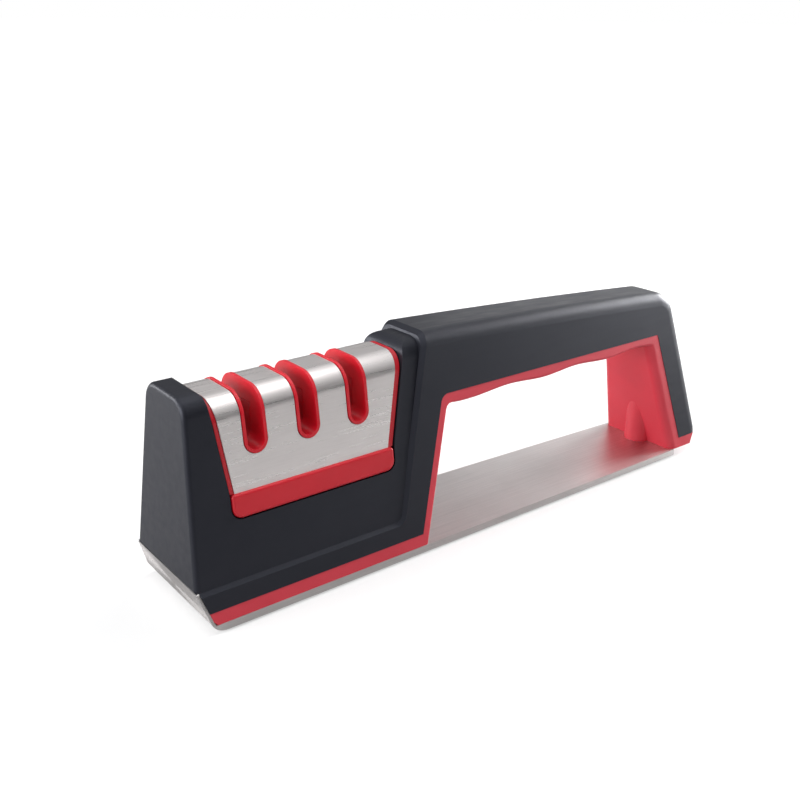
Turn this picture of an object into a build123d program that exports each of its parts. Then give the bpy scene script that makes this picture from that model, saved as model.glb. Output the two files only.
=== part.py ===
"""Three-slot hand-held knife sharpener.

Frame: millimetres, +Z up, X along the length with the sharpening head at -X and the handle at +X.
The origin is on the table, at the centre of the footprint. The part is symmetric about the plane Y = 0.
Outlines are drawn in the XZ plane and cut off on both sides by leaning planes.
"""

import os
from math import cos, pi, radians, tan

from build123d import *

# Overall form
LENGTH = 215.6  # tip of the front flap to heel of the rear leg
FRONT_WIDTH = 42.9  # at table height, at the front tip
SIDE_LEAN = 7.4  # degrees, each side leans inward going up
SIDE_TAPER = 1.22  # degrees, each side closes in going back
CREST_FRONT = 69.0  # height of the handle at its front edge
BAND_BOTTOM = 6.9  # black to red boundary along the base
BAND_TOP = 13.4
FRONT = -LENGTH / 2
REAR = LENGTH / 2

# Base plate and grip pads
PAD_PROUD = 0.7  # pads stand below the plate's flanges by this much
SHEET = 0.8
FLANGE = 2.3  # height of the folded edges
PLATE_UNDER = PAD_PROUD
PLATE_TOP = PAD_PROUD + FLANGE
FLAP_DROP = 0.4  # band's top to flap's top
FLAP_TOP = BAND_TOP - FLAP_DROP
FLAP_LEAN = 18.4  # degrees from vertical
FLAP_BEND = 4.4  # centre-line radius
FLAP_NARROWING = 5.0
FLAP_TOP_WIDTH = FRONT_WIDTH - FLAP_NARROWING
FLAP_FOOT = 14.0  # length of the low flat behind the flap
FLAP_GAP = 0.3  # flap to the end wall's overhang
FLAP_CLEAR = FLAP_TOP + FLAP_GAP
SEAM = 0.05  # plastic to flap
JOGGLE = 1.6  # run of the step from the low flat to the high flat
PLATE_INSET = 14.05  # rear edge of the plate to the heel
PLATE_REAR = REAR - PLATE_INSET
TONGUE_WIDTH = 16.0
TONGUE_LENGTH = 5.0
PAD_GAP = 0.4  # pad edge to flange
PAD_CORNER = 3.0
FRONT_PAD_INSET = 19.15
FRONT_PAD_START = FRONT + FRONT_PAD_INSET
FRONT_PAD_LENGTH = 56.0
REAR_PAD_INSET = 6.4  # from the plate's rear edge
REAR_PAD_END = PLATE_REAR - REAR_PAD_INSET
REAR_PAD_LENGTH = 46.0

# Black shell
BAND_BEVEL = 1.3
HEAD_STEP = 1.0  # head side stands back from the band by this much at the band's top
HEAD_LEAN = 8.2  # degrees
END_FACE_LEAN = 3.5  # degrees
COLLAR_DROP = 2.0  # collar's top below the handle's front edge
COLLAR_TOP = CREST_FRONT - COLLAR_DROP
END_WALL_DROP = 1.9  # end wall's top below the collar's
END_WALL_TOP = COLLAR_TOP - END_WALL_DROP
END_WALL_RADIUS = 6.0  # rounding along the top of the end wall
END_RADIUS = 1.4  # upright edges of the end face
COLLAR_RADIUS = 6.0  # rounding along the top of the collar
COLLAR_LEAN = 13.4  # degrees, slope of the step line
STEP_RADIUS = 2.5
CREST_SAG = 2.3  # handle's top, halfway back, below its front edge
CREST_FALL = 5.7  # handle's top at its rear end, below its front edge
CREST_MID = CREST_FRONT - CREST_SAG
CREST_REAR = CREST_FRONT - CREST_FALL
CREST_RADIUS = 10.0  # rear corner, seen from the side
HANDLE_RADIUS = 5.0  # rounding along the top of the handle
LEG_LEAN = 15.6  # degrees, outer face of the rear leg
HEEL_HEIGHT = 11.2
HEEL_LEAN = 27.0  # degrees, the heel slopes in below this height
SHELL_WALL = 2.4
CORE_ROOF_WALL = 10.1  # solid top of the end wall
CORE_HEIGHT = END_WALL_TOP - CORE_ROOF_WALL

# Notch for the cartridge, between the end wall and the collar
SLOT_PITCH = 17.1
NOTCH_ENDS = 4.5  # length of the notch beyond three slot pitches
NOTCH_DEPTH = 37.4
NOTCH_FLOOR = COLLAR_TOP - NOTCH_DEPTH
NOTCH_INSET = 13.4  # from the front tip
NOTCH_LEFT = FRONT + NOTCH_INSET
NOTCH_RIGHT = NOTCH_LEFT + 3 * SLOT_PITCH + NOTCH_ENDS
NOTCH_LEFT_LEAN = 7.0  # degrees, flare of the wall towards the end face
NOTCH_RIGHT_LEAN = 12.6  # degrees, flare of the wall towards the handle
NOTCH_FLARE_RADIUS = 25.0
END_SHOULDER = 1.5  # rounding of the end wall's inner edge, seen from the side
COLLAR_SHOULDER = 4.6  # rounding of the collar's front edge

# Red frame and hand opening
COLLAR_FOOT = 0.15  # notch's rear wall to the foot of the handle's step line, at the band's top
COLLAR_FOOT_X = NOTCH_RIGHT + COLLAR_FOOT
HANDLE_DEPTH = 19.9
GRIP_UNDER = CREST_FRONT - HANDLE_DEPTH  # black to red boundary under the handle
GRIP_CORNER = 3.0  # front corner of that boundary
FRONT_LINE_OFFSET = 7.85  # notch's rear wall to the black to red boundary of the front leg, at the base
FRONT_LINE_X = NOTCH_RIGHT + FRONT_LINE_OFFSET
FRONT_LINE_LEAN = 14.7  # degrees
REAR_LINE_INSET = 11.15  # heel to the black to red boundary of the rear leg, at the base
REAR_LINE_X = REAR - REAR_LINE_INSET
REAR_LINE_LEAN = 16.5  # degrees
FRONT_STRIP = 3.1  # width along X of the front red strip
REAR_STRIP = 5.9  # width along X of the rear red strip
WAVE_STRIP = 3.45  # mean height of the red strip under the handle
WAVE_MEAN = GRIP_UNDER - WAVE_STRIP
WAVE_DEPTH = 0.45
WAVE_PITCH = 31.0
WAVE_OFFSET = 48.55  # notch's rear wall to a wave's crest
WAVE_CREST_X = NOTCH_RIGHT + WAVE_OFFSET
OPENING_RADIUS = 2.2
LEG_EDGE_RADIUS = 2.8
OPENING_EDGE_RADIUS = 0.9
FRAME_STEP = 0.15  # frame side stands back from the shell side
BULGE_RADIUS = 5.1  # screw boss that shows in the rear leg
BULGE_INSET = 15.8  # from the heel
BULGE_X = REAR - BULGE_INSET
BULGE_HEIGHT = 22.0
BULGE_DRAFT = 1.0  # degrees

# Cartridge
NOTCH_GAP = 0.35  # cartridge to notch walls
SEAT_GAP = 0.3  # cartridge to notch floor
LEDGE_GAP = 0.4  # ends of the ledge to notch walls
LEDGE_HEIGHT = 7.0
LEDGE_PROUD = 0.5  # ledge stands out from the head's side
LEDGE_RADIUS = 3.0  # lower corners of the ledge
LEDGE_TOP_RADIUS = 1.1
LEDGE_EDGE = 0.9
COVER_DROP = 2.4  # cover's top line below the head's, parallel to it
COVER_BACK = 0.35  # cover stands back from the head's side
COVER_SHEET = 0.6
COVER_RADIUS = 6.8
COVER_GAP = 0.05
COVER_END_GAP = 0.1  # cover to end flanges
RIM_PROUD = 0.3  # red rims stand out from the cover
FLANGE_BACK = 0.2  # red end flanges stand back from the cover
LEFT_FLANGE = 1.2
RIGHT_FLANGE = 1.7
CORE_ROOF = 4.1  # core above the holders, at the low end of its top
SLOT_SHIFT = 0.85  # middle slot stands this far in front of the notch's middle
SLOT_MIDDLE = (NOTCH_LEFT + NOTCH_RIGHT) / 2 - SLOT_SHIFT
SLOT_WIDTH = 5.4
SLOT_DEPTH = 19.55  # below the collar's top
SLOT_BOTTOM = COLLAR_TOP - SLOT_DEPTH
RIM_WIDTH = 0.9
RIM_GAP = 0.25  # cover cut-out to rim
SPIGOT_INSET = 6.8  # spigot's ends to notch walls
SPIGOT_DEPTH = 10.2  # below the ledge
SPIGOT_WALL = 2.0
SPIGOT_RADIUS = 2.0  # upright corners
SPIGOT_GAP = 0.3

# Sharpening stages
HOLDER_WEB = 3.7  # core between two holders
HOLDER_SKIN = 1.45  # holder outside its rods
HOLDER_GAP = 0.1
STAGE_LEAN = 20.0  # degrees, each rod or blade from vertical
STAGE_GAP = 0.05  # rod or blade to its seat
STAGE_WALL = 0.3  # holder between the two seats of a pair
STAGE_FOOT = 1.9  # rod or blade stands this far above the carriage
STAGE_HEAD = 0.2  # rod or blade ends this far below the holder's top
ROD_RADIUS = 1.5
ROD_CROSSING = 1.8  # the rods cross this far below the slot's bottom
BLADE_WIDTH = 3.4
BLADE_THICK = 2.1
BLADE_CROSSING = 2.4
BLADE_EDGE = 0.5  # bevel along the blade's working edges
HOLDER_WIDTH = 2 * (2 * ROD_RADIUS + 2 * STAGE_GAP + STAGE_WALL / 2 + HOLDER_SKIN)

# Fasteners
SCREW_RADIUS = 1.5
SCREW_HEAD_RADIUS = 2.8
SCREW_HEAD = 1.4
SCREW_GAP = 0.05  # shank to plastic
SCREW_CLEARANCE = 0.25  # shank to drilled sheet
BOSS_WALL = 2.0
BOSS_CAP = 1.0  # plastic above the screw's tip
BASE_SCREW_LENGTH = 9.0
BASE_SCREW_INSETS = (27.15, 59.15)  # from the front tip
BASE_SCREW_SIDE = 10.2  # from the widest part of the side
BASE_SCREW_Y = FRONT_WIDTH / 2 - BASE_SCREW_SIDE
SHELL_SCREW_LENGTH = 16.0
SHELL_SCREW_INSET = 2.0  # from the notch walls
SHELL_SCREW_SIDE = 12.2  # from the widest part of the side
SHELL_SCREW_Y = FRONT_WIDTH / 2 - SHELL_SCREW_SIDE
COUNTERBORE = 2.0
CARTRIDGE_SCREW_LENGTH = 14.0
CARTRIDGE_SCREW_WALL = 1.7  # screw's axis to the holder's side
CARTRIDGE_SCREW_Y = HOLDER_WIDTH / 2 + CARTRIDGE_SCREW_WALL
CARTRIDGE_SCREW_RADIUS = 1.25
CARTRIDGE_HEAD_RADIUS = 2.3
CARTRIDGE_HEAD = 1.2
CLAMP_SCREW_RADIUS = 0.9
CLAMP_HEAD_RADIUS = 1.7
CLAMP_HEAD = 0.9
CLAMP_SCREW_LENGTH = 6.8

# Lengths worked out from the above
THROUGH = FRONT_WIDTH  # half-depth of a cut that passes through both sides
TALL = 2 * CREST_FRONT
LEDGE_BOTTOM = NOTCH_FLOOR + SEAT_GAP
LEDGE_TOP = LEDGE_BOTTOM + LEDGE_HEIGHT
NOTCH_FLARE = LEDGE_TOP  # height where the notch walls start to flare
LEDGE_LEFT = NOTCH_LEFT + LEDGE_GAP
LEDGE_RIGHT = NOTCH_RIGHT - LEDGE_GAP
CORE_DEPTH = COVER_SHEET + COVER_GAP  # core's top below the cover's
HOLDER_TOP = END_WALL_TOP - COVER_DROP - CORE_DEPTH - CORE_ROOF - HOLDER_GAP
HOLDER_LENGTH = SLOT_PITCH - HOLDER_WEB
LEAN = tan(radians(SIDE_LEAN))
TAPER = tan(radians(SIDE_TAPER))
SLOT_CENTRES = [SLOT_MIDDLE + SLOT_PITCH * n for n in (-1, 0, 1)]
SPIGOT_X = (NOTCH_LEFT + NOTCH_RIGHT) / 2
SPIGOT_LENGTH = NOTCH_RIGHT - NOTCH_LEFT - 2 * SPIGOT_INSET
SPIGOT_WIDTH = 2 * (CARTRIDGE_SCREW_Y + CARTRIDGE_HEAD_RADIUS + SPIGOT_GAP + SPIGOT_WALL)
SPIGOT_ROOF = LEDGE_BOTTOM + LEDGE_TOP_RADIUS
SHELL_SCREW_X = (NOTCH_LEFT + SHELL_SCREW_INSET, NOTCH_RIGHT - SHELL_SCREW_INSET)
CARTRIDGE_SCREW_X = [(a + b) / 2 for a, b in zip(SLOT_CENTRES, SLOT_CENTRES[1:])]


def half_width(x, z, inset=0.0):
    """Half the width of the outer form at length x and height z."""
    return FRONT_WIDTH / 2 - TAPER * (x - FRONT) - LEAN * z - inset


def body_side(side, inset=0.0):
    """Leaning plane of the outer form; side is +1 or -1, and the normal points outward."""
    origin = (FRONT, side * half_width(FRONT, 0, inset), 0)
    return Plane(origin=origin, z_dir=(TAPER, side, LEAN))


def head_side(side, inset=0.0):
    """Leaning plane of the head, which stands back from the band and leans a little more."""
    origin = (FRONT, side * half_width(FRONT, BAND_TOP, HEAD_STEP + inset), BAND_TOP)
    return Plane(origin=origin, z_dir=(TAPER, side, tan(radians(HEAD_LEAN))))


def between_sides(outline, side_plane, inset):
    """The outline carried across Y and cut off by the two leaning planes."""
    with BuildPart() as block:
        extrude(outline, amount=THROUGH, dir=(0, 1, 0), both=True)
        split(bisect_by=side_plane(1, inset), keep=Keep.BOTTOM)
        split(bisect_by=side_plane(-1, inset), keep=Keep.BOTTOM)
    return block.part


def top_corner_edges(part, low, high):
    """Edges that run along the length where a top face meets a leaning side."""

    def runs_along_top(edge):
        start = edge @ 0
        end = edge @ 1
        flat = abs(end.X - start.X) > abs(end.Z - start.Z) and abs(end.X - start.X) > abs(end.Y - start.Y)
        beside = abs((edge @ 0.5).Y) > BULGE_RADIUS
        return flat and beside and min(start.Z, end.Z) > low and max(start.Z, end.Z) < high

    return part.edges().filter_by(runs_along_top)


def flap_x(z, depth=0.0):
    """X of the flap's outer face at height z; depth goes into the sheet."""
    return FRONT + (FLAP_TOP - z) * tan(radians(FLAP_LEAN)) + depth / cos(radians(FLAP_LEAN))


def end_face_x(z):
    return FRONT + (z - FLAP_TOP) * tan(radians(END_FACE_LEAN))


def step_line_x(z):
    """X of the line where the handle steps up from the collar."""
    return COLLAR_FOOT_X + (z - BAND_TOP) * tan(radians(COLLAR_LEAN))


def front_line_x(z):
    """X of the black to red boundary of the front leg."""
    return FRONT_LINE_X + (z - BAND_BOTTOM) * tan(radians(FRONT_LINE_LEAN))


def rear_line_x(z):
    """X of the black to red boundary of the rear leg."""
    return REAR_LINE_X - (z - BAND_BOTTOM) * tan(radians(REAR_LINE_LEAN))


def leg_face_x(z):
    """X of the outer face of the rear leg."""
    return REAR - (z - HEEL_HEIGHT) * tan(radians(LEG_LEAN))


def heel_x(z):
    """X of the heel's slope, below the leg's outer face."""
    return REAR - (HEEL_HEIGHT - z) * tan(radians(HEEL_LEAN))


def notch_left_x(z):
    return NOTCH_LEFT - (z - NOTCH_FLARE) * tan(radians(NOTCH_LEFT_LEAN))


def notch_right_x(z):
    return NOTCH_RIGHT + (z - NOTCH_FLARE) * tan(radians(NOTCH_RIGHT_LEAN))


def head_top_z(x):
    """Height of the head's top line, from the end wall up to the collar."""
    start = end_face_x(END_WALL_TOP)
    slope = (COLLAR_TOP - END_WALL_TOP) / (step_line_x(COLLAR_TOP) - start)
    return END_WALL_TOP + slope * (x - start)


def plate_half_width(x):
    return half_width(x, PLATE_TOP)


def flap_side(side):
    """Leaning plane of the flap's side edge, through the plate's corner."""
    rise = FLAP_TOP - PLATE_TOP
    lean = (plate_half_width(FRONT) - FLAP_TOP_WIDTH / 2) / rise
    origin = (FRONT, side * plate_half_width(FRONT), PLATE_TOP)
    return Plane(origin=origin, z_dir=(TAPER, side, lean))


def screw(length, radius, head_radius, head_height):
    """Pan-head screw with a cross recess; its axis is +Z and the head lies below the origin."""
    with BuildPart() as fastener:
        Cylinder(radius, length, align=(Align.CENTER, Align.CENTER, Align.MIN))
        chamfer(fastener.edges().group_by(Axis.Z)[-1], length=radius * 0.6)
        with Locations((0, 0, -head_height)):
            Cylinder(head_radius, head_height, align=(Align.CENTER, Align.CENTER, Align.MIN))
        fillet(fastener.edges().group_by(Axis.Z)[0], radius=head_height * 0.4)
        recess_length = 2 * head_radius * 0.7
        with Locations((0, 0, -head_height)):
            for turn in (0, 90):
                Box(
                    recess_length,
                    radius * 0.5,
                    head_height * 1.2,
                    rotation=(0, 0, turn),
                    mode=Mode.SUBTRACT,
                )
    return fastener.part


# Where the fasteners stand
base_screw_spots = [(FRONT + x, side * BASE_SCREW_Y) for x in BASE_SCREW_INSETS for side in (-1, 1)]
base_screw_spots.append((BULGE_X, 0))
shell_screw_spots = [(x, side * SHELL_SCREW_Y) for x in SHELL_SCREW_X for side in (-1, 1)]
cartridge_screw_spots = [(x, side * CARTRIDGE_SCREW_Y) for x in CARTRIDGE_SCREW_X for side in (-1, 1)]

# Base plate: one folded sheet
low_line = PLATE_UNDER + SHEET / 2
high_line = PLATE_TOP - SHEET / 2
joggle_x = flap_x(PLATE_UNDER) + FLAP_FOOT
with BuildPart() as plate_sheet:
    with BuildSketch(Plane.XZ):
        with BuildLine():
            FilletPolyline(
                (PLATE_REAR + TONGUE_LENGTH, high_line),
                (joggle_x, high_line),
                (joggle_x - JOGGLE, low_line),
                (flap_x(low_line, SHEET / 2), low_line),
                (flap_x(FLAP_TOP, SHEET / 2), FLAP_TOP),
                radius=(SHEET, SHEET, FLAP_BEND),
            )
        trace(line_width=SHEET)
    extrude(amount=THROUGH, both=True)
    with BuildSketch(Plane.XY):
        with BuildLine():
            Polyline(
                (FRONT - SHEET, -plate_half_width(FRONT - SHEET)),
                (PLATE_REAR, -plate_half_width(PLATE_REAR)),
                (PLATE_REAR, plate_half_width(PLATE_REAR)),
                (FRONT - SHEET, plate_half_width(FRONT - SHEET)),
                close=True,
            )
        make_face()
        with Locations((PLATE_REAR, 0)):
            Rectangle(2 * TONGUE_LENGTH, TONGUE_WIDTH)
    extrude(amount=TALL, mode=Mode.INTERSECT)
    split(bisect_by=flap_side(1), keep=Keep.BOTTOM)
    split(bisect_by=flap_side(-1), keep=Keep.BOTTOM)
    flap_corners = plate_sheet.edges().filter_by(
        lambda edge: (edge @ 0.5).Z > FLAP_TOP - SHEET and abs((edge @ 0.5).Y) > FLAP_TOP_WIDTH / 2 - 1
    )
    fillet(flap_corners, radius=SHEET)

with BuildPart() as flange_profile:
    with BuildSketch(Plane.XZ) as flange_side:
        with BuildLine():
            Polyline(
                (PLATE_REAR, PLATE_UNDER),
                (flap_x(PLATE_UNDER), PLATE_UNDER),
                (FRONT, FLAP_TOP),
                (PLATE_REAR, FLAP_TOP),
                close=True,
            )
        make_face()
        bend = flange_side.vertices().sort_by_distance((flap_x(PLATE_UNDER), PLATE_UNDER))[0]
        fillet(bend, radius=FLAP_BEND + SHEET / 2)
    extrude(amount=THROUGH, both=True)
    split(bisect_by=Plane.XY.offset(PLATE_TOP), keep=Keep.BOTTOM)

with BuildPart() as flanges:
    with BuildSketch(Plane.XY):
        for side in (-1, 1):
            with BuildLine():
                Polyline(
                    (FRONT, side * plate_half_width(FRONT)),
                    (PLATE_REAR, side * plate_half_width(PLATE_REAR)),
                    (PLATE_REAR, side * TONGUE_WIDTH / 2),
                    (PLATE_REAR - SHEET, side * TONGUE_WIDTH / 2),
                    (PLATE_REAR - SHEET, side * (plate_half_width(PLATE_REAR) - SHEET)),
                    (FRONT, side * (plate_half_width(FRONT) - SHEET)),
                    close=True,
                )
            make_face()
    extrude(amount=PLATE_TOP)
    add(flange_profile.part, mode=Mode.INTERSECT)

with BuildPart() as base_plate:
    add(plate_sheet.part)
    add(flanges.part)
    with Locations(*[(x, y, PLATE_TOP) for x, y in base_screw_spots]):
        Hole(SCREW_RADIUS + SCREW_CLEARANCE)
base_plate.part.label = "base_plate"


def grip_pad(start, end, holes):
    """Rubber pad in the plate's tray, with clearance holes around the screw heads."""
    with BuildPart() as pad:
        with BuildSketch(Plane.XY) as pad_outline:
            with BuildLine():
                Polyline(
                    (start, -plate_half_width(start) + SHEET + PAD_GAP),
                    (end, -plate_half_width(end) + SHEET + PAD_GAP),
                    (end, plate_half_width(end) - SHEET - PAD_GAP),
                    (start, plate_half_width(start) - SHEET - PAD_GAP),
                    close=True,
                )
            make_face()
            fillet(pad_outline.vertices(), radius=PAD_CORNER)
        extrude(amount=PLATE_TOP - SHEET)
        fillet(pad.edges().group_by(Axis.Z)[0], radius=PAD_PROUD * 0.6)
        if holes:
            with Locations(*holes):
                Cylinder(
                    SCREW_HEAD_RADIUS + PAD_GAP,
                    PLATE_TOP,
                    align=(Align.CENTER, Align.CENTER, Align.MIN),
                    mode=Mode.SUBTRACT,
                )
    return pad.part


with BuildPart() as front_grip_pad:
    add(grip_pad(FRONT_PAD_START, FRONT_PAD_START + FRONT_PAD_LENGTH, base_screw_spots[:4]))
front_grip_pad.part.label = "front_grip_pad"

with BuildPart() as rear_grip_pad:
    add(grip_pad(REAR_PAD_END - REAR_PAD_LENGTH, REAR_PAD_END, []))
rear_grip_pad.part.label = "rear_grip_pad"

with BuildPart() as base_screws:
    base_screw = screw(BASE_SCREW_LENGTH, SCREW_RADIUS, SCREW_HEAD_RADIUS, SCREW_HEAD)
    with Locations(*[(x, y, PLATE_TOP - SHEET) for x, y in base_screw_spots]):
        add(base_screw)
base_screws.part.label = "base_screws"

with BuildPart() as shell_screws:
    shell_screw = screw(SHELL_SCREW_LENGTH, SCREW_RADIUS, SCREW_HEAD_RADIUS, SCREW_HEAD)
    with Locations(*[(x, y, PLATE_TOP + COUNTERBORE) for x, y in shell_screw_spots]):
        add(shell_screw)
shell_screws.part.label = "shell_screws"


def wave_z(x):
    """Height of the finger waves under the handle."""
    return WAVE_MEAN + WAVE_DEPTH * cos(2 * pi * (x - WAVE_CREST_X) / WAVE_PITCH)


# Inner frame: base of the head, arch around the hand opening, heel
boss_radius = SCREW_RADIUS + BOSS_WALL
wave_start = front_line_x(WAVE_MEAN) + FRONT_STRIP
wave_end = rear_line_x(WAVE_MEAN) - REAR_STRIP
wave_count = round((wave_end - wave_start) / WAVE_PITCH) + 1
wave_turns = [WAVE_CREST_X + n * WAVE_PITCH / 2 for n in range(-wave_count, 2 * wave_count)]
wave_margin = WAVE_PITCH / 8
wave_points = [(x, wave_z(x)) for x in wave_turns if wave_start + wave_margin < x < wave_end - wave_margin]
leg_middle = REAR_STRIP / 2
bend_top = low_line + FLAP_BEND * tan(radians(90 - FLAP_LEAN) / 2) * cos(radians(FLAP_LEAN))
bend_cut = (bend_top - PLATE_TOP) * 0.6
with BuildSketch(Plane.XZ) as arch_outline:
    with BuildLine():
        Polyline(
            (wave_start, WAVE_MEAN),
            (front_line_x(PLATE_TOP) + FRONT_STRIP, PLATE_TOP),
            (flap_x(PLATE_TOP, SHEET + SEAM) + bend_cut, PLATE_TOP),
            (flap_x(bend_top, SHEET + SEAM), bend_top),
            (flap_x(BAND_BOTTOM, SHEET + SEAM), BAND_BOTTOM),
            (front_line_x(BAND_BOTTOM), BAND_BOTTOM),
            (front_line_x(GRIP_UNDER), GRIP_UNDER),
            (rear_line_x(GRIP_UNDER) - leg_middle, GRIP_UNDER),
            (wave_end + leg_middle, WAVE_MEAN),
            (wave_end, WAVE_MEAN),
        )
        Spline((wave_end, WAVE_MEAN), *reversed(wave_points), (wave_start, WAVE_MEAN))
    make_face()
    for corner, radius in (
        ((wave_start, WAVE_MEAN), OPENING_RADIUS),
        ((front_line_x(GRIP_UNDER), GRIP_UNDER), GRIP_CORNER),
    ):
        fillet(arch_outline.vertices().sort_by_distance(corner)[0], radius=radius)

with BuildPart() as frame_arch:
    add(between_sides(arch_outline.sketch, body_side, FRAME_STEP))
    opening_edges = frame_arch.edges().filter_by(
        lambda edge: abs((edge @ 0.5).Y) > BULGE_RADIUS
        and front_line_x((edge @ 0.5).Z) + FRONT_STRIP - 0.2 < (edge @ 0.5).X < wave_end - 1
        and PLATE_TOP + 1 < (edge @ 0.5).Z < GRIP_UNDER - 1
    )
    fillet(opening_edges, radius=OPENING_EDGE_RADIUS)

with BuildSketch(Plane.XZ) as leg_outline:
    with BuildLine():
        Polyline(
            (rear_line_x(GRIP_UNDER) - REAR_STRIP, GRIP_UNDER),
            (rear_line_x(GRIP_UNDER), GRIP_UNDER),
            (rear_line_x(BAND_BOTTOM), BAND_BOTTOM),
            (heel_x(BAND_BOTTOM), BAND_BOTTOM),
            (heel_x(PLATE_TOP), PLATE_TOP),
            (rear_line_x(PLATE_TOP) - REAR_STRIP, PLATE_TOP),
            close=True,
        )
    make_face()

with BuildPart() as frame_leg:
    add(between_sides(leg_outline.sketch, body_side, FRAME_STEP))
    leg_edges = frame_leg.edges().filter_by(
        lambda edge: abs((edge @ 0.5).Y) > BULGE_RADIUS
        and abs((edge @ 0.5).X - rear_line_x((edge @ 0.5).Z) + REAR_STRIP) < 0.2
        and PLATE_TOP + 1 < (edge @ 0.5).Z < GRIP_UNDER - 1
    )
    fillet(leg_edges, radius=LEG_EDGE_RADIUS)

with BuildPart() as inner_frame:
    add(frame_arch.part)
    add(frame_leg.part)
    with BuildSketch(Plane.XY.offset(PLATE_TOP)):
        with Locations((BULGE_X, 0)):
            Circle(BULGE_RADIUS)
    extrude(amount=BULGE_HEIGHT, taper=BULGE_DRAFT)
    with Locations(*[(x, y, BAND_BOTTOM) for x, y in base_screw_spots[:4]]):
        Cylinder(
            boss_radius,
            BASE_SCREW_LENGTH - SHEET - BAND_BOTTOM + PLATE_TOP + BOSS_CAP,
            align=(Align.CENTER, Align.CENTER, Align.MIN),
        )
    with Locations(*[(x, y, PLATE_TOP) for x, y in base_screw_spots]):
        Cylinder(
            SCREW_RADIUS + SCREW_GAP,
            BASE_SCREW_LENGTH - SHEET + SCREW_GAP,
            align=(Align.CENTER, Align.CENTER, Align.MIN),
            mode=Mode.SUBTRACT,
        )
    with Locations(*[(x, y, PLATE_TOP) for x, y in shell_screw_spots]):
        Cylinder(
            SCREW_HEAD_RADIUS + SCREW_CLEARANCE,
            COUNTERBORE,
            align=(Align.CENTER, Align.CENTER, Align.MIN),
            mode=Mode.SUBTRACT,
        )
        Cylinder(
            SCREW_RADIUS + SCREW_CLEARANCE,
            BAND_BOTTOM - PLATE_TOP,
            align=(Align.CENTER, Align.CENTER, Align.MIN),
            mode=Mode.SUBTRACT,
        )
inner_frame.part.label = "inner_frame"

# Outer shell: handle, rear leg and lower band in one outline
crest_mid_x = (step_line_x(CREST_FRONT) + leg_face_x(CREST_REAR)) / 2
with BuildSketch(Plane.XZ) as grip_outline:
    with BuildLine():
        ThreePointArc(
            (step_line_x(CREST_FRONT), CREST_FRONT),
            (crest_mid_x, CREST_MID),
            (leg_face_x(CREST_REAR), CREST_REAR),
        )
        Polyline(
            (leg_face_x(CREST_REAR), CREST_REAR),
            (REAR, HEEL_HEIGHT),
            (heel_x(BAND_BOTTOM), BAND_BOTTOM),
            (rear_line_x(BAND_BOTTOM), BAND_BOTTOM),
            (rear_line_x(GRIP_UNDER), GRIP_UNDER),
            (front_line_x(GRIP_UNDER), GRIP_UNDER),
            (front_line_x(BAND_BOTTOM), BAND_BOTTOM),
            (flap_x(BAND_BOTTOM, SHEET + SEAM), BAND_BOTTOM),
            (flap_x(FLAP_CLEAR, SHEET + SEAM), FLAP_CLEAR),
            (end_face_x(FLAP_CLEAR), FLAP_CLEAR),
            (end_face_x(BAND_TOP), BAND_TOP),
            (step_line_x(BAND_TOP), BAND_TOP),
            (step_line_x(CREST_FRONT), CREST_FRONT),
        )
    make_face()
    for corner, radius in (
        ((step_line_x(BAND_TOP), BAND_TOP), STEP_RADIUS),
        ((leg_face_x(CREST_REAR), CREST_REAR), CREST_RADIUS),
        ((front_line_x(GRIP_UNDER), GRIP_UNDER), GRIP_CORNER),
    ):
        fillet(grip_outline.vertices().sort_by_distance(corner)[0], radius=radius)

with BuildPart() as grip_form:
    add(between_sides(grip_outline.sketch, body_side, 0))
    fillet(top_corner_edges(grip_form, GRIP_UNDER + 2, TALL), radius=HANDLE_RADIUS)


def on_step(edge):
    """Edges of the step face that bounds the head: band's top, corner and handle's front."""
    middle = edge @ 0.5
    start = edge @ 0
    end = edge @ 1
    inside = all(p.X < step_line_x(p.Z) + 0.3 for p in (start, middle, end))
    outer = start.Y * end.Y > 0 or middle.Z > COLLAR_TOP
    return inside and outer and min(start.Z, end.Z) > BAND_TOP - 0.1 and middle.X > FRONT + STEP_RADIUS


with BuildPart() as band_form:
    add(grip_form.part)
    chamfer(band_form.edges().filter_by(on_step), length=BAND_BEVEL)

# Outer shell: head block between the end wall and the collar
with BuildSketch(Plane.XZ) as head_outline:
    with BuildLine():
        Polyline(
            (flap_x(BAND_BOTTOM, SHEET + SEAM), BAND_BOTTOM),
            (flap_x(FLAP_CLEAR, SHEET + SEAM), FLAP_CLEAR),
            (end_face_x(FLAP_CLEAR), FLAP_CLEAR),
            (end_face_x(END_WALL_TOP), END_WALL_TOP),
            (step_line_x(COLLAR_TOP) + STEP_RADIUS, head_top_z(step_line_x(COLLAR_TOP) + STEP_RADIUS)),
            (step_line_x(BAND_BOTTOM) + STEP_RADIUS, BAND_BOTTOM),
            close=True,
        )
    make_face()

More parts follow.
